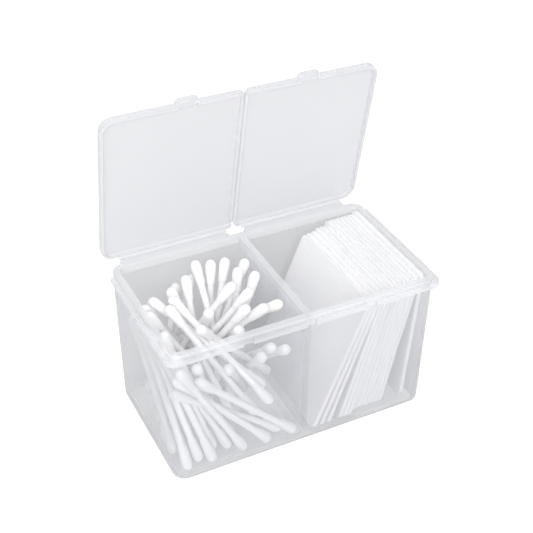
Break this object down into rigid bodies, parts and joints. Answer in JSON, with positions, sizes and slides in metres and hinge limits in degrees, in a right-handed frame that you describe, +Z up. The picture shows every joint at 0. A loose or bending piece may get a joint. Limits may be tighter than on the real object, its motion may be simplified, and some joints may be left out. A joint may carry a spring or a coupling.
{
  "type": "cotton swab and pad storage box",
  "caption": "Frosted plastic storage box with a divider and two hinged lids, holding loose cotton swabs on one side and square cotton pads on the other.",
  "frame": {"origin": "centre of the tub's flat underside, on the surface it stands on", "axes": "+X along the box from the swab side to the pad side, +Y toward the hinges at the back, +Z up"},
  "size_m": [0.15, 0.0938, 0.1726],
  "materials": {
    "tub_plastic": "frosted, slightly hazy",
    "lid_plastic": "frosted, slightly hazy",
    "hinge_plastic": "frosted",
    "pad_cotton": "matte, finely ribbed",
    "swab_cotton": "matte"
  },
  "bodies": {
    "tub": {"tub": "tub_plastic", "hinge_left": "hinge_plastic", "hinge_right": "hinge_plastic", "pad_01": "pad_cotton", "pad_02": "pad_cotton", "pad_03": "pad_cotton", "pad_04": "pad_cotton", "pad_05": "pad_cotton", "pad_06": "pad_cotton", "pad_07": "pad_cotton", "pad_08": "pad_cotton", "pad_09": "pad_cotton", "pad_10": "pad_cotton", "pad_11": "pad_cotton", "pad_12": "pad_cotton", "pad_13": "pad_cotton", "pad_14": "pad_cotton", "swab_01": "swab_cotton", "swab_02": "swab_cotton", "swab_03": "swab_cotton", "swab_04": "swab_cotton", "swab_05": "swab_cotton", "swab_06": "swab_cotton", "swab_07": "swab_cotton", "swab_08": "swab_cotton", "swab_09": "swab_cotton", "swab_10": "swab_cotton", "swab_11": "swab_cotton", "swab_12": "swab_cotton", "swab_13": "swab_cotton", "swab_14": "swab_cotton", "swab_15": "swab_cotton", "swab_16": "swab_cotton", "swab_17": "swab_cotton", "swab_18": "swab_cotton", "swab_19": "swab_cotton", "swab_20": "swab_cotton", "swab_21": "swab_cotton", "swab_22": "swab_cotton", "swab_23": "swab_cotton", "swab_24": "swab_cotton", "swab_25": "swab_cotton", "swab_26": "swab_cotton", "swab_27": "swab_cotton", "swab_28": "swab_cotton", "swab_29": "swab_cotton", "swab_30": "swab_cotton", "swab_31": "swab_cotton", "swab_32": "swab_cotton", "swab_33": "swab_cotton", "swab_34": "swab_cotton", "swab_35": "swab_cotton", "swab_36": "swab_cotton", "swab_37": "swab_cotton", "swab_38": "swab_cotton", "swab_39": "swab_cotton", "swab_40": "swab_cotton", "swab_41": "swab_cotton"},
    "lid_left": {"lid_left": "lid_plastic"},
    "lid_right": {"lid_right": "lid_plastic"}
  },
  "joints": [
    {"name": "lid_left_hinge", "type": "hinge", "parent": "tub", "child": "lid_left", "pos_m": [0, 0.0474, 0.0812], "axis": [-1, 0, 0], "range_deg": [-79, 101]},
    {"name": "lid_right_hinge", "type": "hinge", "parent": "tub", "child": "lid_right", "pos_m": [0, 0.0474, 0.0812], "axis": [-1, 0, 0], "range_deg": [-79, 101]}
  ]
}
